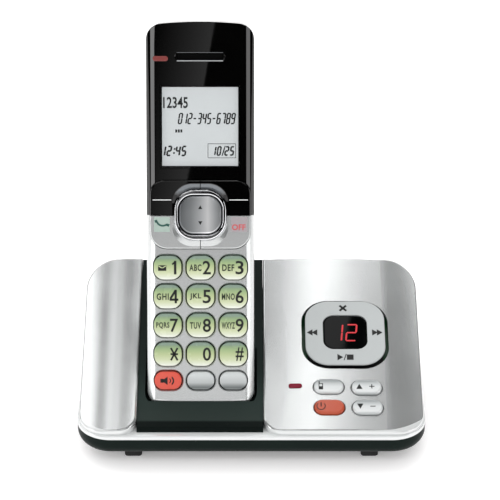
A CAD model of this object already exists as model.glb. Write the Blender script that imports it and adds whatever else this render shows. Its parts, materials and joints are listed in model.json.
import json
import math
import bpy
from mathutils import Matrix, Vector


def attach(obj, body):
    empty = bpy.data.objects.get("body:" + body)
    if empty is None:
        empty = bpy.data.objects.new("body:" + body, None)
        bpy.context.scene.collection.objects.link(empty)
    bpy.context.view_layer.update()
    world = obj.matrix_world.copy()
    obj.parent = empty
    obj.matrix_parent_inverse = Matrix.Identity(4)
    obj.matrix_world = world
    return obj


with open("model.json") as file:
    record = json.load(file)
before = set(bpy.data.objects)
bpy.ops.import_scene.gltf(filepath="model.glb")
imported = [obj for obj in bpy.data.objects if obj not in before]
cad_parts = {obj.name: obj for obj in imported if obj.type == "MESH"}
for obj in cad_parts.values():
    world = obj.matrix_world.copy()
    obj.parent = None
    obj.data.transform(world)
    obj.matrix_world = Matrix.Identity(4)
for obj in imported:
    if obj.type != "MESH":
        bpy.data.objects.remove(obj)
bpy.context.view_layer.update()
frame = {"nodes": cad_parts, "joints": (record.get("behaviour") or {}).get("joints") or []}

mm = 0.001
scene = bpy.context.scene
scene.view_settings.view_transform = "Standard"


def boxOf(points):
    # lowest and highest corner of some points
    return [Vector([pick(point[axis] for point in points) for axis in range(3)]) for pick in (min, max)]


def faceTurn(jointName):
    # across, up and outward on a face: a key's travel points into its face, so outward is the other way
    inward = next(joint for joint in frame["joints"] if joint["name"] == jointName)["axis"]
    outward = -Vector(inward).normalized()
    across = Vector((1, 0, 0))
    return Matrix((across, outward.cross(across), outward)).transposed()


# the two faces that carry prints: each print is made lying flat and is then turned to its face
faces = {
    "slope": faceTurn("find_handset_key_press"),
    "handset": faceTurn("key_5_press"),
}


def faceBox(node, face):
    # lowest and highest corner of a CAD node, measured along the directions of a face
    turn = faces[face].transposed()
    return boxOf([turn @ vertex.co for vertex in frame["nodes"][node].data.vertices])


def faceSpot(node, face):
    # middle of a node on a face, at the height of its top
    low, high = faceBox(node, face)
    return Vector(((low.x + high.x) / 2, (low.y + high.y) / 2, high.z))


# the camera stands in front and looks down at the object through a long lens; target and distance are in mm
camera = {"target": (-0.6, -3.39, 80.67), "distance": 1000, "elevation": 30, "lens": 167.76, "sensor": 36,
          "clipStart": 10}


def addCamera():
    tilt = math.radians(camera["elevation"])
    away = Vector((0, -math.cos(tilt), math.sin(tilt))) * camera["distance"]
    bpy.ops.object.camera_add(location=(Vector(camera["target"]) + away) * mm,
                              rotation=(math.pi / 2 - tilt, 0, 0))
    made = bpy.context.object
    made.data.lens = camera["lens"]
    made.data.sensor_width = camera["sensor"]
    made.data.clip_start = camera["clipStart"] * mm
    scene.camera = made


def linear(hexColour):
    # an sRGB hex colour as Blender's linear red, green, blue and alpha
    channels = [int(hexColour[at:at + 2], 16) / 255 for at in (1, 3, 5)]
    return [c / 12.92 if c <= 0.04045 else ((c + 0.055) / 1.055) ** 2.4 for c in channels] + [1]


def addNode(tree, kind, inputs=(), stops=(), **settings):
    # one node: settings by name, inputs by name or number as a value or another node's output, and a
    # ramp's stops, the two ends first. A colour Mix has its colours at 6 and 7 and its result at 2, and a
    # plain one has them at 2, 3 and 0.
    node = tree.nodes.new("ShaderNode" + kind)
    for name, value in settings.items():
        setattr(node, name, value)
    for name, value in dict(inputs).items():
        if isinstance(value, bpy.types.NodeSocket):
            tree.links.new(value, node.inputs[name])
        else:
            node.inputs[name].default_value = value
    for index, (place, colour) in enumerate(stops):
        points = node.color_ramp.elements
        point = points[index] if index < 2 else points.new(place)
        point.position = place
        point.color = linear(colour)
    return node


# Common values of a finish: two near colours that the tint drifts between over "drift" mm, the
# roughness and how far it varies, and a surface grain of "grain" mm that stands "relief" mm high. Real
# grain is mostly finer than 0.1 mm: it is drawn coarser, because that fine it wouldn't show.
finishes = {
    # ABS sprayed with fine silver paint: soft broad reflections
    "silverPaint": dict(colours=("#cdcfcf", "#d4d6d6"), drift=22, rough=0.21, vary=0.03, metallic=0.75,
                        grain=0.8, relief=0.0015, coat=0.1),
    # smooth injection-moulded ABS, dark green-black: low sheen
    "darkMouldedAbs": dict(colours=("#0d1614", "#121c19"), drift=18, rough=0.4, vary=0.06, grain=0.7,
                           relief=0.006, specular=0.06),
    # piano-black polished ABS: mirror-like
    "polishedBlackAbs": dict(colours=("#020202", "#040404"), drift=25, rough=0.015, vary=0.01, grain=1.2,
                             relief=0.0002, specular=0.8),
    # spark-eroded charcoal ABS on the back of the handset: dry and grainy
    "sparkTexturedAbs": dict(colours=("#2a2c2d", "#323435"), drift=12, rough=0.55, vary=0.06, grain=0.6,
                             relief=0.02),
    # orange keycap resin of the answer key, under a thin gloss
    "orangeKeyResin": dict(colours=("#a84226", "#b04a2c"), drift=6, rough=0.3, vary=0.05, grain=0.6,
                           relief=0.004, coat=0.3),
    # red keycap resin of the loudspeaker key, under a thin gloss
    "redKeyResin": dict(colours=("#c4412f", "#cd5140"), drift=6, rough=0.3, vary=0.05, grain=0.6,
                        relief=0.004, coat=0.3),
    # bright chrome plating on ABS: a near mirror
    "brightChrome": dict(colours=("#e6e7ea", "#eeeff1"), drift=10, rough=0.06, vary=0.03, metallic=1,
                         grain=1.0, relief=0.0008),
    # smoked acrylic in front of the two digits: nearly black and smooth
    "smokedAcrylic": dict(colours=("#020303", "#040505"), drift=10, rough=0.03, vary=0.02, grain=1.0,
                          relief=0.0006, specular=0.08),
    # red light guide of the charge lamp, unlit, and the deeper red one of the in-use lamp
    "redLightGuide": dict(colours=("#713331", "#7a3936"), drift=3, rough=0.25, vary=0.06, grain=0.5,
                          relief=0.004),
    "deepRedLightGuide": dict(colours=("#6c1428", "#78192e"), drift=3, rough=0.4, vary=0.06, grain=0.5,
                              relief=0.004, specular=0.15),
    # liquid-crystal panel: pale reflective film, dull behind its glass
    "lcdFilm": dict(colours=("#cdd2d4", "#d4d9da"), drift=30, rough=0.6, vary=0.04, grain=0.4,
                    relief=0.002),
    # black synthetic rubber feet: dull and fine-grained
    "footRubber": dict(colours=("#161717", "#1f2020"), drift=4, rough=0.75, vary=0.06, grain=0.5,
                       relief=0.03),
    # black felt over the earpiece: no sheen
    "blackFelt": dict(colours=("#030303", "#060606"), drift=3, rough=0.8, vary=0.06, grain=0.4,
                      relief=0.02, specular=0.1),
    # black nylon mouldings: jacks, speakers, microphone
    "blackNylon": dict(colours=("#131414", "#1b1c1c"), drift=5, rough=0.5, vary=0.08, grain=0.5,
                       relief=0.01),
    # black silicone mats: satin
    "silicone": dict(colours=("#1d1e1e", "#262727"), drift=6, rough=0.55, vary=0.06, grain=0.6,
                     relief=0.01),
    # solder-masked glass-epoxy boards: green, with a lacquer's sheen
    "solderMask": dict(colours=("#0f4a26", "#14562d"), drift=9, rough=0.35, vary=0.08, grain=0.8,
                       relief=0.01),
    # nickel-plated contact strip: warm grey metal
    "nickelPlate": dict(colours=("#b9b4a8", "#c6c1b6"), drift=3, rough=0.25, vary=0.08, metallic=1,
                        grain=0.4, relief=0.004),
    # zinc-plated screws: blue-grey metal
    "zincPlate": dict(colours=("#a5a8ab", "#b2b5b8"), drift=2, rough=0.35, vary=0.1, metallic=1,
                      grain=0.4, relief=0.006),
    # shrink sleeve round the battery cells: blue and glossy
    "shrinkSleeve": dict(colours=("#1f3f7d", "#274a8c"), drift=8, rough=0.3, vary=0.08, grain=1.5,
                         relief=0.02),
    # liquid-crystal segments that are switched on: near black
    "lcdSegment": dict(colours=("#0b0c0d", "#131515"), drift=2, rough=0.5, vary=0.05, grain=0.3,
                       relief=0.001),
}

# pad-printed inks on keys and housings, dull, with the values that all share and what differs in each
inkFilm = dict(drift=1, rough=0.5, vary=0.06, grain=0.2, relief=0.002)
paleFilm = dict(drift=2, rough=0.4, vary=0.05, grain=0.3, relief=0.001)
finishes["blackInk"] = dict(inkFilm, colours=("#0c0d0c", "#161716"))
finishes["greenGreyInk"] = dict(inkFilm, colours=("#1c2614", "#27321d"))
finishes["whiteInk"] = dict(inkFilm, colours=("#dfe1e1", "#ebeded"))
finishes["dullGreyInk"] = dict(inkFilm, colours=("#4c4e50", "#585a5c"), rough=0.4)
finishes["lightGreyInk"] = dict(inkFilm, colours=("#a2a5a7", "#abaeb0"), rough=0.4)
finishes["tealInk"] = dict(inkFilm, colours=("#1f4a42", "#28564d"))
finishes["redInk"] = dict(inkFilm, colours=("#b5363c", "#c2464b"))
finishes["paleResinInk"] = dict(inkFilm, colours=("#c3d19a", "#cddaa8"))
# pale tints printed behind the talk and off signs
finishes["paleGreenInk"] = dict(paleFilm, colours=("#95a59d", "#9cada4"))
finishes["paleRoseInk"] = dict(paleFilm, colours=("#928a8d", "#999194"))

plainFinishes = list(finishes)  # those above need no more; the ones that follow each have their own maker
shelf = {}  # every material by its name


def newMaterial(name):
    shelf[name] = bpy.data.materials.new(name)
    shelf[name].use_nodes = True
    tree = shelf[name].node_tree
    tree.nodes.clear()
    shader = addNode(tree, "BsdfPrincipled")
    addNode(tree, "OutputMaterial", {"Surface": shader.outputs["BSDF"]})
    return tree, shader


glossRough = 0.08  # roughness of the thin gloss on the finishes that have a coat
noiseSpan = {"From Min": 0.3, "From Max": 0.7}  # levels that noise mostly stays between


def addFinish(name, tree, shader):
    # tint drift, roughness drift and surface grain, all in the piece's own space
    values = finishes[name]
    place = addNode(tree, "TexCoord").outputs["Object"]
    drift = addNode(tree, "TexNoise", {"Vector": place, "Scale": 1 / (values["drift"] * mm), "Detail": 2})
    dark, light = [linear(colour) for colour in values["colours"]]
    tint = addNode(tree, "Mix", {"Factor": drift.outputs["Fac"], 6: dark, 7: light}, data_type="RGBA")
    rough = addNode(tree, "MapRange", {
        "Value": drift.outputs["Fac"], "To Min": values["rough"] - values["vary"] / 2,
        "To Max": values["rough"] + values["vary"] / 2, **noiseSpan})
    grain = addNode(tree, "TexNoise", {"Vector": place, "Scale": 1 / (values["grain"] * mm), "Detail": 1})
    bump = addNode(tree, "Bump", {"Height": grain.outputs["Fac"], "Distance": values["relief"] * mm})
    tree.links.new(tint.outputs[2], shader.inputs["Base Color"])
    tree.links.new(rough.outputs["Result"], shader.inputs["Roughness"])
    tree.links.new(bump.outputs["Normal"], shader.inputs["Normal"])
    shader.inputs["Metallic"].default_value = values.get("metallic", 0)
    shader.inputs["Specular IOR Level"].default_value = values.get("specular", 0.5)
    shader.inputs["Coat Weight"].default_value = values.get("coat", 0)
    shader.inputs["Coat Roughness"].default_value = glossRough
    return place, tint.outputs[2]


# Finishes that change along a key's height or along a slope. The key rows' pitch and first middle are
# read from the nodes, or given in mm, and each stop is a share of a row from its lower end.
bandBlend = 0.9  # how much of the colour comes from the bands: the rest is the finish's drifting tint
bands = {
    # green translucent resin: grey-green along the top of each cap, pale yellow-green and white below
    "greenKeyResin": dict(face="handset", low="key_0", high="key_8", stops=(
        (0.1, "#e6e8e1"), (0.9, "#72867c"), (0.17, "#cfd3c3"), (0.3, "#bec5a3"), (0.5, "#a6b284"),
        (0.68, "#889f70"), (0.79, "#748b6d"), (0.83, "#6e8378"))),
    # silver-grey painted keycap: light on top, a dark hollow and a light lip below
    "greyKeyPaint": dict(face="handset", low="mute_key", pitch=11, stops=(
        (0.12, "#a4a8a8"), (0.9, "#8b9090"), (0.17, "#8d9292"), (0.22, "#656a6a"), (0.3, "#858a8a"),
        (0.42, "#bcc0c0"), (0.72, "#d6dada"), (0.84, "#ced2d2"))),
    # white ABS keycap with a silver cast: its upper flank is grey
    "whiteKeyAbs": dict(face="slope", low="volume_down_key", high="volume_up_key", stops=(
        (0.16, "#b0b4b4"), (0.86, "#787d7e"), (0.24, "#d2d4d4"), (0.5, "#c8cbcb"), (0.66, "#abafb0"),
        (0.77, "#848989"))),
    # dark green-black cradle insert: lighter towards its lower edge, and its turned-down lip darkest
    "cradleAbs": dict(face="slope", start=-40, pitch=100, stops=(
        (0.056, "#060e0c"), (0.75, "#071310"), (0.064, "#29322f"), (0.2, "#232e2b"), (0.36, "#1a2522"))),
}
finishes["greenKeyResin"] = dict(colours=("#a9b58c", "#b2bd98"), drift=5, rough=0.26, vary=0.05,
                                 grain=0.6, relief=0.004, coat=0.4)
finishes["greyKeyPaint"] = dict(colours=("#9a9e9e", "#a4a8a8"), drift=6, rough=0.34, vary=0.04,
                                metallic=0.4, grain=0.6, relief=0.001)
finishes["whiteKeyAbs"] = dict(colours=("#c6caca", "#cfd3d3"), drift=5, rough=0.3, vary=0.05,
                               metallic=0.2, grain=0.6, relief=0.002, coat=0.2)
finishes["cradleAbs"] = dict(colours=("#16201e", "#1b2623"), drift=18, rough=0.4, vary=0.06,
                             grain=0.7, relief=0.006, specular=0.09)


def makeBandedFinishes():
    for name, band in bands.items():
        tree, shader = newMaterial(name)
        place, tint = addFinish(name, tree, shader)
        middles = {node: sum(corner.y for corner in faceBox(band[node], band["face"])) / 2
                   for node in ("low", "high") if node in band}
        pitch = middles["high"] - middles["low"] if "high" in middles else band["pitch"] * mm
        first = middles["low"] - pitch / 2 if "low" in middles else band["start"] * mm
        up = faces[band["face"]].col[1]
        height = addNode(tree, "VectorMath", {0: place, 1: up}, operation="DOT_PRODUCT")
        above = addNode(tree, "Math", {0: height.outputs["Value"], 1: first}, operation="SUBTRACT")
        rows = addNode(tree, "Math", {0: above.outputs[0], 1: pitch}, operation="DIVIDE")
        share = addNode(tree, "Math", {0: rows.outputs[0]}, operation="FRACT")
        ramp = addNode(tree, "ValToRGB", {"Fac": share.outputs[0]}, stops=band["stops"])
        mixed = addNode(tree, "Mix", {"Factor": bandBlend, 6: tint, 7: ramp.outputs["Color"]},
                        data_type="RGBA")
        tree.links.new(mixed.outputs[2], shader.inputs["Base Color"])


def repaint(tree, shader, tint, mask, colour, metallic):
    # where the mask is 1, the silver paint gives way to another colour and metallic value
    mixed = addNode(tree, "Mix", {"Factor": mask, 6: tint, 7: linear(colour)}, data_type="RGBA")
    metal = addNode(tree, "MapRange", {"Value": mask, "To Min": finishes["silverPaint"]["metallic"],
                                       "To Max": metallic})
    tree.links.new(mixed.outputs[2], shader.inputs["Base Color"])
    tree.links.new(metal.outputs["Result"], shader.inputs["Metallic"])


# handset's silver cover: the paint ends at its openings, whose walls are bare black plastic
paintedCover = {"depth": 0.7, "halfWidth": 20.3, "bare": "#2c302e"}


def makePaintedCover():
    tree, shader = newMaterial("paintedCover")
    place, tint = addFinish("silverPaint", tree, shader)
    middle = faceSpot("handset_front_cover", "handset")
    across, outward = faces["handset"].col[0], faces["handset"].col[2]
    depth = addNode(tree, "VectorMath", {0: place, 1: outward}, operation="DOT_PRODUCT")
    below = addNode(tree, "Math", {0: depth.outputs["Value"], 1: middle.z - paintedCover["depth"] * mm},
                    operation="LESS_THAN")
    along = addNode(tree, "VectorMath", {0: place, 1: across}, operation="DOT_PRODUCT")
    offset = addNode(tree, "Math", {0: along.outputs["Value"], 1: middle.x}, operation="SUBTRACT")
    distance = addNode(tree, "Math", {0: offset.outputs[0]}, operation="ABSOLUTE")
    within = addNode(tree, "Math", {0: distance.outputs[0], 1: paintedCover["halfWidth"] * mm},
                     operation="LESS_THAN")
    bare = addNode(tree, "Math", {0: below.outputs[0], 1: within.outputs[0]}, operation="MULTIPLY")
    repaint(tree, shader, tint, bare.outputs[0], paintedCover["bare"], 0)


# base's silver housing: the narrow flange along its foot is satin and paler than the panels above
flangedPaint = {"top": 17.9, "flange": "#d5d7d7", "metallic": 0.27}


def makeFlangedPaint():
    tree, shader = newMaterial("flangedPaint")
    place, tint = addFinish("silverPaint", tree, shader)
    height = addNode(tree, "SeparateXYZ", {0: place})
    flange = addNode(tree, "Math", {0: height.outputs["Z"], 1: flangedPaint["top"] * mm},
                     operation="LESS_THAN")
    repaint(tree, shader, tint, flange.outputs[0], flangedPaint["flange"], flangedPaint["metallic"])


# message ring: a satin grey face is sprayed on a black moulding, whose sides stay black
twoToneRing = {"faceDepth": 0.75, "side": "#0b0c0c"}
finishes["twoToneRing"] = dict(colours=("#a9adad", "#b1b5b5"), drift=14, rough=0.42, vary=0.05,
                               metallic=0.1, grain=0.6, relief=0.006)


def makeTwoToneRing():
    tree, shader = newMaterial("twoToneRing")
    place, tint = addFinish("twoToneRing", tree, shader)
    outward = faces["slope"].col[2]
    edge = faceSpot("message_ring", "slope").z - twoToneRing["faceDepth"] * mm
    height = addNode(tree, "VectorMath", {0: place, 1: outward}, operation="DOT_PRODUCT")
    painted = addNode(tree, "Math", {0: height.outputs["Value"], 1: edge}, operation="GREATER_THAN")
    mixed = addNode(tree, "Mix", {"Factor": painted.outputs[0], 6: linear(twoToneRing["side"]), 7: tint},
                    data_type="RGBA")
    tree.links.new(mixed.outputs[2], shader.inputs["Base Color"])


# redial and menu keys: polished black, with an oval of the dish round the rocker sprayed silver, which
# fades in between two heights
dishedKey = {"halfWidth": 12.4, "halfHeight": 13.9, "power": 3, "from": 8.4, "to": 10.6, "below": 0.1,
             "tint": "#707478", "metallic": 0.8}


def makeDishedKey():
    tree, shader = newMaterial("dishedKey")
    place, blackTint = addFinish("polishedBlackAbs", tree, shader)
    blackRough = shader.inputs["Roughness"].links[0].from_socket
    middle = faceSpot("volume_rocker", "handset")
    across, up, outward = [faces["handset"].col[axis] for axis in range(3)]
    shares = []
    offsets = []
    for axis, centre, size in ((across, middle.x, "halfWidth"), (up, middle.y, "halfHeight")):
        along = addNode(tree, "VectorMath", {0: place, 1: axis}, operation="DOT_PRODUCT")
        offset = addNode(tree, "Math", {0: along.outputs["Value"], 1: centre}, operation="SUBTRACT")
        offsets.append(offset.outputs[0])
        distance = addNode(tree, "Math", {0: offset.outputs[0]}, operation="ABSOLUTE")
        share = addNode(tree, "Math", {0: distance.outputs[0], 1: dishedKey[size] * mm}, operation="DIVIDE")
        raised = addNode(tree, "Math", {0: share.outputs[0], 1: dishedKey["power"]}, operation="POWER")
        shares.append(raised.outputs[0])
    total = addNode(tree, "Math", {0: shares[0], 1: shares[1]}, operation="ADD")
    within = addNode(tree, "Math", {0: total.outputs[0], 1: 1}, operation="LESS_THAN")
    rise = addNode(tree, "MapRange", {"Value": offsets[1], "From Min": dishedKey["from"] * mm,
                                      "From Max": dishedKey["to"] * mm})
    height = addNode(tree, "VectorMath", {0: place, 1: outward}, operation="DOT_PRODUCT")
    floor = faceSpot("redial_key", "handset").z - dishedKey["below"] * mm
    sunk = addNode(tree, "Math", {0: height.outputs["Value"], 1: floor}, operation="LESS_THAN")
    oval = addNode(tree, "Math", {0: within.outputs[0], 1: sunk.outputs[0]}, operation="MULTIPLY")
    dish = addNode(tree, "Math", {0: oval.outputs[0], 1: rise.outputs["Result"]},
                   operation="MULTIPLY").outputs[0]
    colour = addNode(tree, "Mix", {"Factor": dish, 6: blackTint, 7: linear(dishedKey["tint"])},
                     data_type="RGBA")
    rough = addNode(tree, "Mix", {"Factor": dish, 2: blackRough, 3: finishes["silverPaint"]["rough"]})
    metal = addNode(tree, "Math", {0: dish, 1: dishedKey["metallic"]}, operation="MULTIPLY")
    tree.links.new(colour.outputs[2], shader.inputs["Base Color"])
    tree.links.new(rough.outputs[0], shader.inputs["Roughness"])
    tree.links.new(metal.outputs[0], shader.inputs["Metallic"])


# brushed metal-effect cap of the rocker: fine lines across it, and the foil is lighter along the middle of
# the cap than at its sides
brushedCap = {
    "line": 0.22, "length": 9, "relief": 0.012, "strength": 0.6, "width": 18, "blend": 0.9,
    "stops": ((0.02, "#6c6f72"), (0.98, "#8d9092"), (0.28, "#96999b"), (0.5, "#c6c8ca"), (0.68, "#f2f2f3"),
              (0.84, "#bfc1c3")),
}
finishes["brushedCap"] = dict(colours=("#a3a6a8", "#c1c4c6"), drift=9, rough=0.33, vary=0.1, metallic=0.85,
                              grain=0.3, relief=0.003)


def makeBrushedCap():
    tree, shader = newMaterial("brushedCap")
    place, tint = addFinish("brushedCap", tree, shader)
    stretch = Vector((1 / brushedCap["length"], 1 / brushedCap["line"], 1 / brushedCap["line"])) / mm
    spread = addNode(tree, "Mapping", {"Vector": place, "Scale": stretch})
    lines = addNode(tree, "TexNoise", {"Vector": spread.outputs["Vector"], "Scale": 1, "Detail": 2})
    bump = addNode(tree, "Bump", {"Height": lines.outputs["Fac"], "Distance": brushedCap["relief"] * mm,
                                  "Strength": brushedCap["strength"]})
    along = addNode(tree, "VectorMath", {0: place, 1: faces["handset"].col[0]}, operation="DOT_PRODUCT")
    edge = faceSpot("volume_rocker", "handset").x - brushedCap["width"] / 2 * mm
    share = addNode(tree, "MapRange", {"Value": along.outputs["Value"], "From Min": edge,
                                       "From Max": edge + brushedCap["width"] * mm})
    ramp = addNode(tree, "ValToRGB", {"Fac": share.outputs["Result"]}, stops=brushedCap["stops"])
    mixed = addNode(tree, "Mix", {"Factor": brushedCap["blend"], 6: tint, 7: ramp.outputs["Color"]},
                    data_type="RGBA")
    tree.links.new(bump.outputs["Normal"], shader.inputs["Normal"])
    tree.links.new(mixed.outputs[2], shader.inputs["Base Color"])


# clear acrylic lens: nearly all of what lies behind shows through it
clearLens = {"opacity": 0.08}
finishes["clearLens"] = dict(colours=("#1c1e1f", "#232526"), drift=25, rough=0.03, vary=0.02, grain=1.5,
                             relief=0.0005)


def makeClearLens():
    tree, shader = newMaterial("clearLens")
    addFinish("clearLens", tree, shader)
    shader.inputs["Alpha"].default_value = clearLens["opacity"]


# red light-emitting segments, which glow evenly and faintly
litSegment = {"colour": "#e81420", "strength": 0.3}
finishes["litSegment"] = dict(colours=("#a01820", "#b4202a"), drift=1, rough=0.4, vary=0.05, grain=0.4,
                              relief=0.002)


def makeLitSegment():
    tree, shader = newMaterial("litSegment")
    addFinish("litSegment", tree, shader)
    shader.inputs["Emission Color"].default_value = linear(litSegment["colour"])
    shader.inputs["Emission Strength"].default_value = litSegment["strength"]


def makeMaterials():
    for name in plainFinishes:
        tree, shader = newMaterial(name)
        addFinish(name, tree, shader)
    makeBandedFinishes()
    makePaintedCover()
    makeFlangedPaint()
    makeTwoToneRing()
    makeDishedKey()
    makeBrushedCap()
    makeClearLens()
    makeLitSegment()


# which CAD nodes get each finish
dialKeys = ["key_" + name for name in ("1", "2", "3", "4", "5", "6", "7", "8", "9", "star", "0", "hash")]
dressed = {
    "silverPaint": ["talk_key", "off_key"],
    "flangedPaint": ["top_housing"],
    "paintedCover": ["handset_front_cover"],
    "darkMouldedAbs": ["bottom_housing"],
    "cradleAbs": ["cradle_insert"],
    "polishedBlackAbs": ["handset_faceplate"],
    "dishedKey": ["redial_key", "menu_key"],
    "sparkTexturedAbs": ["handset_back_cover", "battery_door"],
    "greenKeyResin": dialKeys,
    "redKeyResin": ["speakerphone_key"],
    "orangeKeyResin": ["answer_on_off_key"],
    "greyKeyPaint": ["mute_key", "intercom_key"],
    "whiteKeyAbs": ["find_handset_key", "volume_up_key", "volume_down_key"],
    "twoToneRing": ["message_ring"],
    "brightChrome": ["rocker_trim"],
    "brushedCap": ["volume_rocker"],
    "smokedAcrylic": ["display_window"],
    "clearLens": ["lcd_window"],
    "lcdFilm": ["lcd_module"],
    "redLightGuide": ["charge_light"],
    "deepRedLightGuide": ["in_use_light"],
    "footRubber": ["base_feet"],
    "blackNylon": ["line_jack", "power_jack", "base_speaker", "handset_speaker", "microphone",
                   "message_display"],
    "blackFelt": ["earpiece"],
    "silicone": ["base_key_mat", "keypad_web", "message_ring_support"],
    "solderMask": ["base_circuit_board", "handset_circuit_board"],
    "nickelPlate": ["charge_contacts", "handset_charge_pads"],
    "zincPlate": ["base_screws", "handset_screws"],
    "shrinkSleeve": ["battery_pack"],
}


def dressNodes():
    for finish, names in dressed.items():
        for name in names:
            for slot in frame["nodes"][name].material_slots:
                slot.material = shelf[finish]


def deselect():
    bpy.ops.object.select_all(action="DESELECT")


def copyOf(shape):
    twin = shape.copy()
    twin.data = shape.data.copy()
    scene.collection.objects.link(twin)
    return twin


def thicken(shape):
    # a flat outline becomes a slab, which lay() sets to its real thickness
    bpy.ops.object.mode_set(mode="EDIT")
    bpy.ops.mesh.select_all(action="SELECT")
    bpy.ops.mesh.extrude_region_move(TRANSFORM_OT_translate={"value": (0, 0, 1)})
    bpy.ops.mesh.select_all(action="SELECT")
    bpy.ops.mesh.normals_make_consistent(inside=False)
    bpy.ops.object.mode_set(mode="OBJECT")
    return shape


def turnFlat(shape, degrees):
    shape.data.transform(Matrix.Rotation(math.radians(degrees), 4, "Z"))
    return shape


def textShape(words, weight, gap=1.0):
    # weight makes the strokes bolder, and gap spreads the letters
    deselect()
    bpy.ops.object.text_add()
    lettering = bpy.context.object
    lettering.data.body = words
    lettering.data.offset = weight
    lettering.data.space_character = gap
    lettering.data.extrude = 0.5
    lettering.data.resolution_u = 3
    bpy.ops.object.convert(target="MESH")
    return bpy.context.object


def triangleShape(turn):
    # it points up the face before it is turned
    deselect()
    bpy.ops.mesh.primitive_circle_add(vertices=3, radius=1, fill_type="NGON")
    return thicken(turnFlat(bpy.context.object, turn))


def barShape(turn=0, ratio=1.0, point=0.0):
    # a bar ratio times as long as it is wide; point takes that much off each corner
    deselect()
    bpy.ops.mesh.primitive_cube_add(size=1)
    bar = bpy.context.object
    bar.data.transform(Matrix.Diagonal((ratio, 1, 1, 1)))
    if point:
        for edge in bar.data.edges:
            low, high = boxOf([bar.data.vertices[index].co for index in edge.vertices])
            edge.select = high.z > low.z
        bpy.ops.object.mode_set(mode="EDIT")
        bpy.ops.mesh.select_mode(type="EDGE")
        bpy.ops.mesh.bevel(offset=point, offset_type="OFFSET", segments=1)
        bpy.ops.object.mode_set(mode="OBJECT")
    return turnFlat(bar, turn)


def openRingShape(inner, cutSpot, cutWay):
    # a flat ring of outer radius 1 and that inner one, less what lies behind a spot, facing that way
    deselect()
    bpy.ops.mesh.primitive_circle_add(vertices=32, radius=1, fill_type="NOTHING")
    ring = bpy.context.object
    bpy.ops.object.mode_set(mode="EDIT")
    bpy.ops.mesh.select_all(action="SELECT")
    bpy.ops.mesh.extrude_region_move()
    bpy.ops.transform.resize(value=(inner, inner, 1))
    bpy.ops.mesh.select_all(action="SELECT")
    bpy.ops.mesh.bisect(plane_co=cutSpot, plane_no=cutWay, clear_inner=True)
    bpy.ops.object.mode_set(mode="OBJECT")
    return thicken(ring)


ink = {"above": 0.03, "below": 0.05}  # mm that a print stands over its face, and reaches into it


def lay(shape, face, spot, width, height, shift=(0, 0), slant=0.0, rise=0.0):
    # fits the shape to width x height mm and sets it on a face, beside a spot by shift mm
    low, high = boxOf([Vector(vertex.co) for vertex in shape.data.vertices])
    size = high - low
    thickness = ink["above"] + ink["below"]
    fit = Matrix.Diagonal((width * mm / size.x, height * mm / size.y, thickness * mm / size.z, 1))
    lean = Matrix.Identity(4)
    lean[0][1] = slant
    middle = (ink["above"] - ink["below"]) / 2 + rise
    place = spot + Vector((shift[0], shift[1], middle)) * mm
    shape.data.transform(faces[face].to_4x4() @ Matrix.Translation(place) @ lean @ fit
                         @ Matrix.Translation(-(low + high) / 2))
    return shape


def layBars(face, spot, *marks):
    # upright or level bars, each mark a width, a height and a shift in mm
    return [lay(barShape(), face, spot, *mark) for mark in marks]


def layStroke(face, spot, turn, long, wide, shift):
    # a straight stroke turned about its own middle
    stroke = barShape()
    stroke.data.transform(Matrix.Diagonal((long, wide, 1, 1)))
    turnFlat(stroke, turn)
    reach = [max(vertex.co[axis] for vertex in stroke.data.vertices) * 2 for axis in range(2)]
    return lay(stroke, face, spot, *reach, shift)


def joined(name, shapes, body, finish):
    # the shapes become one named piece, which rides on its body
    deselect()
    for shape in shapes:
        shape.select_set(True)
    bpy.context.view_layer.objects.active = shapes[0]
    if len(shapes) > 1:
        bpy.ops.object.join()
    piece = bpy.context.object
    piece.name = name
    piece.data.materials.clear()
    piece.data.materials.append(shelf[finish])
    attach(piece, body)


# digits and letters of the dial keys, each beside its key's middle in mm
keyPrint = {"digitWidth": 3.5, "digitHeight": 5.85, "digitX": 2.7, "digitY": 0.1, "weight": 0.014,
            "letterHeight": 2.9, "letterX": -2.15, "letterY": 0.05, "letterWeight": 0.03, "letterGap": 1.15}
# letters beside each digit, and how wide the group stands
keyLetters = {"key_2": ("ABC", 5.2), "key_3": ("DEF", 5.2), "key_4": ("GHI", 5.2), "key_5": ("JKL", 4.9),
              "key_6": ("MNO", 5.6), "key_7": ("PQRS", 5.7), "key_8": ("TUV", 4.8), "key_9": ("WXYZ", 5.7)}
# marks of straight strokes: turn, length and width of each, and its place beside the digit's middle
strokeMarks = {
    "*": ((0, 3.2, 0.8, (0, 0)), (62, 6.1, 0.8, (0, 0)), (-62, 6.1, 0.8, (0, 0))),
    "1": ((90, 5.85, 1.05, (0.55, 0)),),
    "4": ((90, 5.85, 0.95, (0.75, 0)), (0, 3.8, 0.95, (0, -1.35)), (58, 4.3, 0.95, (-0.4, 0.9))),
}
# the short stroke at the top of the 1
oneFlag = {"turn": 42, "ratio": 2.1, "size": 1.5, "x": -0.2, "y": 1.825}


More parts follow.
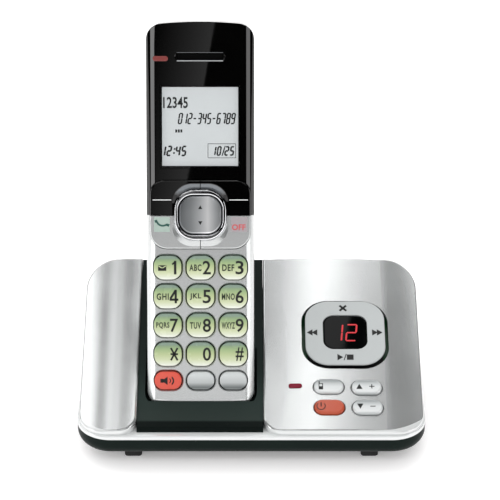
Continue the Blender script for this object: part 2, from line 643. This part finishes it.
def printDialKeys():
    for key in dialKeys:
        spot = faceSpot(key, "handset")
        mark = {"key_star": "*", "key_hash": "#"}.get(key, key[-1])
        x, y = keyPrint["digitX"], keyPrint["digitY"]
        if mark in strokeMarks:
            shapes = [layStroke("handset", spot, turn, long, wide, (x + across, y + up))
                      for turn, long, wide, (across, up) in strokeMarks[mark]]
        else:
            shapes = [lay(textShape(mark, keyPrint["weight"]), "handset", spot, keyPrint["digitWidth"],
                          keyPrint["digitHeight"], (x, y))]
        if mark == "1":
            flag = barShape(oneFlag["turn"], ratio=oneFlag["ratio"])
            shapes.append(lay(flag, "handset", spot, oneFlag["size"], oneFlag["size"],
                              (x + oneFlag["x"], y + oneFlag["y"])))
        joined("print_on_" + key, shapes, key, "blackInk")
        if key in keyLetters:
            letters, wide = keyLetters[key]
            small = textShape(letters, keyPrint["letterWeight"], keyPrint["letterGap"])
            lay(small, "handset", spot, wide, keyPrint["letterHeight"],
                (keyPrint["letterX"], keyPrint["letterY"]))
            joined("letters_on_" + key, [small], key, "greenGreyInk")


# a black envelope with its flap drawn by two pale strokes that lean towards each other
envelope = {"width": 3.5, "height": 2.4, "x": -2.3, "y": -0.1, "flapWidth": 1.6, "flapHeight": 1.15,
            "flapX": 0.8, "flapY": 0.35, "flapTurn": 32, "flapRatio": 6, "flapRise": 0.02}


def printEnvelope():
    spot = faceSpot("key_1", "handset")
    slab = layBars("handset", spot, (envelope["width"], envelope["height"], (envelope["x"], envelope["y"])))
    joined("envelope_on_key_1", slab, "key_1", "blackInk")
    flap = []
    for side in (-1, 1):
        stroke = barShape(side * envelope["flapTurn"], ratio=envelope["flapRatio"])
        place = (envelope["x"] + side * envelope["flapX"], envelope["flapY"])
        flap.append(lay(stroke, "handset", spot, envelope["flapWidth"], envelope["flapHeight"], place,
                        rise=envelope["flapRise"]))
    joined("envelope_flap_on_key_1", flap, "key_1", "paleResinInk")


# loudspeaker sign: a small box, a cone and two waves, each with its width, height and shift
speakerSign = {"box": (1.4, 1.7, (-2.6, 0)), "cone": (2.6, 3.6, (-1.5, 0)),
               "waves": ((0.75, 2.2, (0.95, 0)), (1.1, 3.8, (2.1, 0))), "waveInner": 0.68, "waveCut": 0.45}


def printSpeakerKey():
    spot = faceSpot("speakerphone_key", "handset")
    shapes = layBars("handset", spot, speakerSign["box"])
    shapes.append(lay(triangleShape(90), "handset", spot, *speakerSign["cone"]))
    for mark in speakerSign["waves"]:
        wave = openRingShape(speakerSign["waveInner"], (speakerSign["waveCut"], 0, 0), (1, 0, 0))
        shapes.append(lay(wave, "handset", spot, *mark))
    joined("sign_on_speakerphone_key", shapes, "speakerphone_key", "blackInk")


# prints round the rocker, measured from its middle: a rule on each side, tinted patches with the talk
# sign, an arc with two ends, and the word OFF on them, and arrows on the rocker itself
panelPrint = {
    "ruleInner": 12.4, "ruleOuter": 20.3, "ruleY": 6.4, "rule": 0.3,
    "patch": (6.8, 6.4), "patchSink": 0.015, "talkPatch": (-16.4, -4.1), "offPatch": (16.6, -4.1),
    "arc": (5.3, 2.3, (-16.3, -3.9)), "arcInner": 0.7, "arcCut": -0.35, "arcTurn": -14,
    "endSize": (1.5, 1.4), "ends": ((20, (-18.9, -2.7)), (70, (-13.8, -4.4))),
    "word": (5.8, 2.5, (16.4, -5.3)), "wordWeight": 0.02,
    "arrow": (1.8, 1.6), "arrowY": 3.4,
}


def printPanel():
    middle = faceSpot("volume_rocker", "handset")
    keys = ("talk_key", "off_key", "redial_key", "menu_key")
    spots = {key: Vector((middle.x, middle.y, faceSpot(key, "handset").z)) for key in keys}
    ruleX = (panelPrint["ruleInner"] + panelPrint["ruleOuter"]) / 2
    ruleLength = panelPrint["ruleOuter"] - panelPrint["ruleInner"]
    for key, side in (("redial_key", -1), ("menu_key", 1)):
        place = (side * ruleX, panelPrint["ruleY"])
        rule = layBars("handset", spots[key], (ruleLength, panelPrint["rule"], place))
        joined("rule_on_" + key, rule, key, "whiteInk")
    for key, finish, place in (("talk_key", "paleGreenInk", "talkPatch"),
                               ("off_key", "paleRoseInk", "offPatch")):
        tint = lay(barShape(), "handset", spots[key], *panelPrint["patch"], panelPrint[place],
                   rise=-panelPrint["patchSink"])
        joined("tint_on_" + key, [tint], key, finish)
    arc = openRingShape(panelPrint["arcInner"], (0, panelPrint["arcCut"], 0), (0, -1, 0))
    turnFlat(arc, panelPrint["arcTurn"])
    sign = [lay(arc, "handset", spots["talk_key"], *panelPrint["arc"])]
    for turn, shift in panelPrint["ends"]:
        sign.append(lay(barShape(turn), "handset", spots["talk_key"], *panelPrint["endSize"], shift))
    joined("sign_on_talk_key", sign, "talk_key", "tealInk")
    word = lay(textShape("OFF", panelPrint["wordWeight"]), "handset", spots["off_key"], *panelPrint["word"])
    joined("word_on_off_key", [word], "off_key", "redInk")
    arrows = [lay(triangleShape(turn), "handset", middle, *panelPrint["arrow"],
                  (0, side * panelPrint["arrowY"])) for turn, side in ((0, 1), (180, -1))]
    joined("arrows_on_rocker", arrows, "volume_rocker", "blackInk")


# ear slot: a light lower lip and a dull upper one
earSlot = {"length": 19.6, "lower": 0.34, "upper": 0.26, "lowerY": -1.75, "upperY": 1.75}


def printEarSlot():
    spot = faceSpot("handset_faceplate", "handset")
    slot = faceSpot("earpiece", "handset")
    spot.x, spot.y = slot.x, slot.y
    for name, finish in (("lower", "lightGreyInk"), ("upper", "dullGreyInk")):
        lip = layBars("handset", spot, (earSlot["length"], earSlot[name], (0, earSlot[name + "Y"])))
        joined("ear_slot_%s_lip" % name, lip, "handset", finish)


# seven-segment digits: a bar ratio times as long as wide, with its corners cut, stands for each segment and
# ends a little before its neighbours; a colon and a slash take less room than a digit
segment = {"ratio": 4, "point": 0.36, "gap": 0.02, "colonY": 0.45, "slashWidth": 0.8, "narrow": 0.5}
litParts = {"0": "abcdef", "1": "bc", "2": "abged", "3": "abgcd", "4": "fgbc", "5": "afgcd",
            "6": "afgedc", "7": "abc", "8": "abcdefg", "9": "abcdfg", "-": "g"}
# middle of each segment as a share of half the digit's width and height, and if it stands upright
segmentPlaces = {"a": (0, 1, False), "b": (1, 0.5, True), "c": (1, -0.5, True), "d": (0, -1, False),
                 "e": (-1, -0.5, True), "f": (-1, 0.5, True), "g": (0, 0, False)}


def segmentDigits(face, spot, look, slant):
    # a row of digits from its left end; look holds the text and a digit's width, height, stroke and pitch
    stroke = look["stroke"]
    halfWidth = (look["width"] - stroke) / 2
    halfHeight = (look["height"] - stroke) / 2
    bar = barShape(ratio=segment["ratio"], point=segment["point"])
    shapes = []
    x, y = look["start"]
    for mark in look["text"]:
        if mark in litParts:
            for part in litParts[mark]:
                across, up, upright = segmentPlaces[part]
                shape = copyOf(bar)
                long = (halfHeight if upright else 2 * halfWidth) - segment["gap"] * stroke
                size = (stroke, long) if upright else (long, stroke)
                if upright:
                    turnFlat(shape, 90)
                dx, dy = across * halfWidth, up * halfHeight
                place = (x + look["width"] / 2 + dx + slant * dy, y + dy)
                shapes.append(lay(shape, face, spot, *size, place, slant))
        elif mark == ":":
            for up in (segment["colonY"], -segment["colonY"]):
                dy = up * halfHeight
                place = (x + stroke + slant * dy, y + dy)
                shapes.append(lay(copyOf(bar), face, spot, stroke, stroke, place, slant))
        elif mark == "/":
            shapes.append(lay(copyOf(bar), face, spot, stroke * segment["slashWidth"], look["height"],
                              (x + stroke, y), slant * 2))
        x += look["pitch"] * (segment["narrow"] if mark in ":/" else 1)
    bpy.data.objects.remove(bar)
    return shapes


# handset display, measured from the middle of its window: the film, three rows of segments, a row of
# plain digits, a box drawn round the date, and small blocks in a row
displayPrint = {
    "film": (33.9, 35.1), "filmSink": 1.28, "slant": 0.16,
    "number": dict(text="012-345-6789", width=1.85, height=4.9, stroke=0.62, pitch=2.04, start=(-9.3, 3.4)),
    "time": dict(text="12:45", width=2.2, height=4.6, stroke=0.76, pitch=2.5, start=(-16.8, -10.4)),
    "date": dict(text="10/25", width=1.9, height=4.2, stroke=0.68, pitch=2.2, start=(4.9, -10.4)),
    "plain": "12345", "plainWeight": 0.02, "plainPlace": (10.5, 4.8, (-10.45, 10.2)),
    "boxWidth": 11.8, "boxHeight": 6.0, "boxX": 9.2, "boxY": -10.35, "boxLine": 0.22,
    "blocks": 3, "blockPitch": 1.1, "blockSize": (0.8, 1.3), "blockX": -10.2, "blockY": -1.9,
}


def printDisplay():
    spot = faceSpot("lcd_window", "handset")
    spot.z -= displayPrint["filmSink"] * mm - ink["above"] * mm
    film = lay(barShape(), "handset", spot, *displayPrint["film"], rise=-ink["above"])
    joined("display_film", [film], "handset", "lcdFilm")
    shapes = []
    for name in ("number", "time", "date"):
        shapes += segmentDigits("handset", spot, displayPrint[name], displayPrint["slant"])
    plain = textShape(displayPrint["plain"], displayPrint["plainWeight"])
    shapes.append(lay(plain, "handset", spot, *displayPrint["plainPlace"]))
    wide, tall, line = [displayPrint[name] for name in ("boxWidth", "boxHeight", "boxLine")]
    x, y = displayPrint["boxX"], displayPrint["boxY"]
    for side in (-1, 1):
        shapes += layBars("handset", spot, (wide, line, (x, y + side * tall / 2)),
                          (line, tall, (x + side * wide / 2, y)))
    for step in range(displayPrint["blocks"]):
        place = (displayPrint["blockX"] + displayPrint["blockPitch"] * step, displayPrint["blockY"])
        shapes += layBars("handset", spot, (*displayPrint["blockSize"], place))
    joined("display_segments", shapes, "handset", "lcdSegment")


# signs on the message ring: a cross above its middle by "reach", pairs of arrows at its sides, and a
# triangle, a slanted stroke and a square below
ringPrint = {"reach": 13.8, "crossX": -0.6, "cross": 4.2, "crossBar": 1.0, "crossTurn": 45,
             "arrow": (2.5, 3.5), "arrowStep": 1.05, "leftX": -14.5, "rightX": 14.2, "triangleX": -2.4,
             "strokeX": -0.3, "stroke": (0.4, 3.4), "strokeSlant": 0.3, "squareX": 1.9, "square": 2.9}


def printRing():
    spot = faceSpot("message_ring", "slope")
    reach, square = ringPrint["reach"], ringPrint["square"]
    shapes = [layStroke("slope", spot, side * ringPrint["crossTurn"], ringPrint["cross"],
                        ringPrint["crossBar"], (ringPrint["crossX"], reach)) for side in (1, -1)]
    for turn, middle in ((90, "leftX"), (-90, "rightX")):
        for step in (-ringPrint["arrowStep"], ringPrint["arrowStep"]):
            shapes.append(lay(triangleShape(turn), "slope", spot, *ringPrint["arrow"],
                              (ringPrint[middle] + step, 0)))
    shapes.append(lay(triangleShape(-90), "slope", spot, *ringPrint["arrow"],
                      (ringPrint["triangleX"], -reach)))
    shapes.append(lay(barShape(), "slope", spot, *ringPrint["stroke"], (ringPrint["strokeX"], -reach),
                      ringPrint["strokeSlant"]))
    shapes += layBars("slope", spot, (square, square, (ringPrint["squareX"], -reach)))
    joined("signs_on_message_ring", shapes, "message_ring", "blackInk")


# the two red digits behind the base's display window
redDigits = {"text": "12", "width": 4.9, "height": 9.7, "stroke": 0.74, "pitch": 6.2, "start": (-5.9, -0.2),
             "slant": 0.09}


def lightDigits():
    shapes = segmentDigits("slope", faceSpot("display_window", "slope"), redDigits, redDigits["slant"])
    joined("red_digits", shapes, "base", "litSegment")


# signs on the base keys, as width, height and shift: a handset with its aerial, an arrow with a plus or a
# minus, and an open ring with a stem
baseKeyPrint = {
    "handset": ((1.9, 1.7, (-3.4, -1.2)), (0.35, 1.5, (-4.18, 0.4)), (0.35, 1.5, (-2.62, 0.4)),
                (1.9, 0.35, (-3.4, 1.1)), (0.5, 1.2, (-4.1, 1.8))),
    "arrow": (2.7, 2.8, (-3.2, 0)), "level": (2.3, 0.42, (2.2, 0)), "upright": (0.42, 2.3, (2.2, 0)),
    "ring": (4.0, 3.5, (-3.6, -0.35)), "ringInner": 0.8, "ringCut": 0.62, "stem": (0.5, 2.3, (-3.6, 0.9)),
}


def printBaseKeys():
    shapes = layBars("slope", faceSpot("find_handset_key", "slope"), *baseKeyPrint["handset"])
    joined("sign_on_find_handset_key", shapes, "find_handset_key", "blackInk")
    for key, turn, bars in (("volume_up_key", 0, ("level", "upright")),
                            ("volume_down_key", 180, ("level",))):
        spot = faceSpot(key, "slope")
        shapes = [lay(triangleShape(turn), "slope", spot, *baseKeyPrint["arrow"])]
        shapes += layBars("slope", spot, *[baseKeyPrint[bar] for bar in bars])
        joined("signs_on_" + key, shapes, key, "blackInk")
    spot = faceSpot("answer_on_off_key", "slope")
    ring = openRingShape(baseKeyPrint["ringInner"], (0, baseKeyPrint["ringCut"], 0), (0, -1, 0))
    shapes = [lay(ring, "slope", spot, *baseKeyPrint["ring"])]
    shapes += layBars("slope", spot, baseKeyPrint["stem"])
    joined("sign_on_answer_on_off_key", shapes, "answer_on_off_key", "blackInk")


# pale matt floor that glows a little, so that it stays even and light to the edge of the view
stage = {"size": 6.0, "colour": "#f6f5f5", "rough": 0.6, "specular": 0.2, "glow": 0.24}


def addFloor():
    deselect()
    bpy.ops.mesh.primitive_plane_add(size=stage["size"])
    floor = bpy.context.object
    floor.name = "floor"
    tree, shader = newMaterial("paleFloor")
    shader.inputs["Base Color"].default_value = linear(stage["colour"])
    shader.inputs["Roughness"].default_value = stage["rough"]
    shader.inputs["Specular IOR Level"].default_value = stage["specular"]
    shader.inputs["Emission Color"].default_value = linear(stage["colour"])
    shader.inputs["Emission Strength"].default_value = stage["glow"]
    floor.data.materials.append(shelf["paleFloor"])


# softboxes: where each stands and looks in metres, its size and how bright it glows, and for some a turn
# in degrees or a fade, the power by which the glow falls off towards its left side
softboxes = {
    "overheadStrip": dict(at=(0.044, 0.4, 1.25), look=(0.044, 0, 0.03), size=(0.088, 0.8), glow=3.1,
                          turn=-12),
    "stripFringe": dict(at=(0.165, 0.4, 1.25), look=(0.165, 0, 0.03), size=(0.11, 0.8), glow=0.55,
                        turn=-12),
    "overheadPanel": dict(at=(-0.31, 0.3, 1.25), look=(-0.31, 0, 0.03), size=(0.22, 0.5), glow=1.1),
    "nearPanel": dict(at=(-0.4, 0.27, 1.24), look=(-0.4, 0, 0.03), size=(0.7, 0.2), glow=0.45),
    "leftPanel": dict(at=(-1.05, 0.5, 1.1), look=(-0.1, 0, 0.05), size=(0.5, 0.9), glow=1.9),
    "ledgeCard": dict(at=(0, 1.05, 1.25), look=(0, 0, 0.02), size=(2.4, 0.58), glow=2.2),
    "backCard": dict(at=(0, 1.7, 0.95), look=(0, 0, 0.02), size=(2.6, 0.6), glow=0.9),
    "floorCard": dict(at=(0, -1.1, 0.004), look=(0, -1.1, 1), size=(2.6, 0.6), glow=0.6),
    "frontSky": dict(at=(0, -0.95, 1.25), look=(0, 0, 0.05), size=(1.6, 0.6), glow=1.3),
    "lowCard": dict(at=(0, -1.6, 0.28), look=(0, 0, 0.28), size=(2.4, 0.52), glow=0.8),
    "slantedCard": dict(at=(-0.089, -1.6, 0.76), look=(-0.089, 0, 0.76), size=(0.075, 0.36), glow=0.4,
                        turn=-9, fade=1.6),
    "leftEdge": dict(at=(-1.3, -0.55, 0.25), look=(0, 0, 0.1), size=(0.5, 1.2), glow=2.8),
    "rightEdge": dict(at=(1.3, -0.55, 0.25), look=(0, 0, 0.1), size=(0.5, 1.2), glow=1.9),
}


def addLights():
    for name, values in softboxes.items():
        place = Vector(values["at"])
        aim = (Vector(values["look"]) - place).to_track_quat("-Z", "Y").to_matrix()
        turn = Matrix.Rotation(math.radians(values.get("turn", 0)), 3, "Z")
        bpy.ops.object.light_add(type="AREA", location=place)
        light = bpy.context.object
        light.name = name
        light.rotation_euler = (aim @ turn).to_euler()
        light.data.shape = "RECTANGLE"
        light.data.size, light.data.size_y = values["size"]
        light.data.energy = values["glow"] * math.pi * light.data.size * light.data.size_y
        if "fade" in values:
            light.data.use_nodes = True
            tree = light.data.node_tree
            tree.nodes.clear()
            side = addNode(tree, "SeparateXYZ", {0: addNode(tree, "NewGeometry").outputs["Parametric"]})
            level = addNode(tree, "Math", {0: side.outputs["X"], 1: values["fade"]}, operation="POWER")
            glow = addNode(tree, "Emission", {"Color": (1, 1, 1, 1), "Strength": level.outputs[0]})
            addNode(tree, "OutputLight", {"Surface": glow.outputs["Emission"]})


# an even white room, which lights every surface and is mirrored in none
surround = {"seen": 0.9, "mirrored": 0.0}


def addSurround():
    world = bpy.data.worlds.new("whiteRoom")
    scene.world = world
    world.use_nodes = True
    world.cycles.sampling_method = "NONE"
    tree = world.node_tree
    tree.nodes.clear()
    ray = addNode(tree, "LightPath")
    level = addNode(tree, "MapRange", {"Value": ray.outputs["Is Glossy Ray"], "To Min": surround["seen"],
                                       "To Max": surround["mirrored"]})
    glow = addNode(tree, "Background", {"Color": (1, 1, 1, 1), "Strength": level.outputs["Result"]})
    addNode(tree, "OutputWorld", {"Surface": glow.outputs["Background"]})


addCamera()
print("camera set")
makeMaterials()
dressNodes()
print("nodes dressed")
printDialKeys()
printEnvelope()
printSpeakerKey()
print("handset keys printed")
printPanel()
printEarSlot()
printDisplay()
print("handset panel and display done")
printRing()
lightDigits()
printBaseKeys()
print("base controls done")
addFloor()
addLights()
addSurround()
print("stage lit")
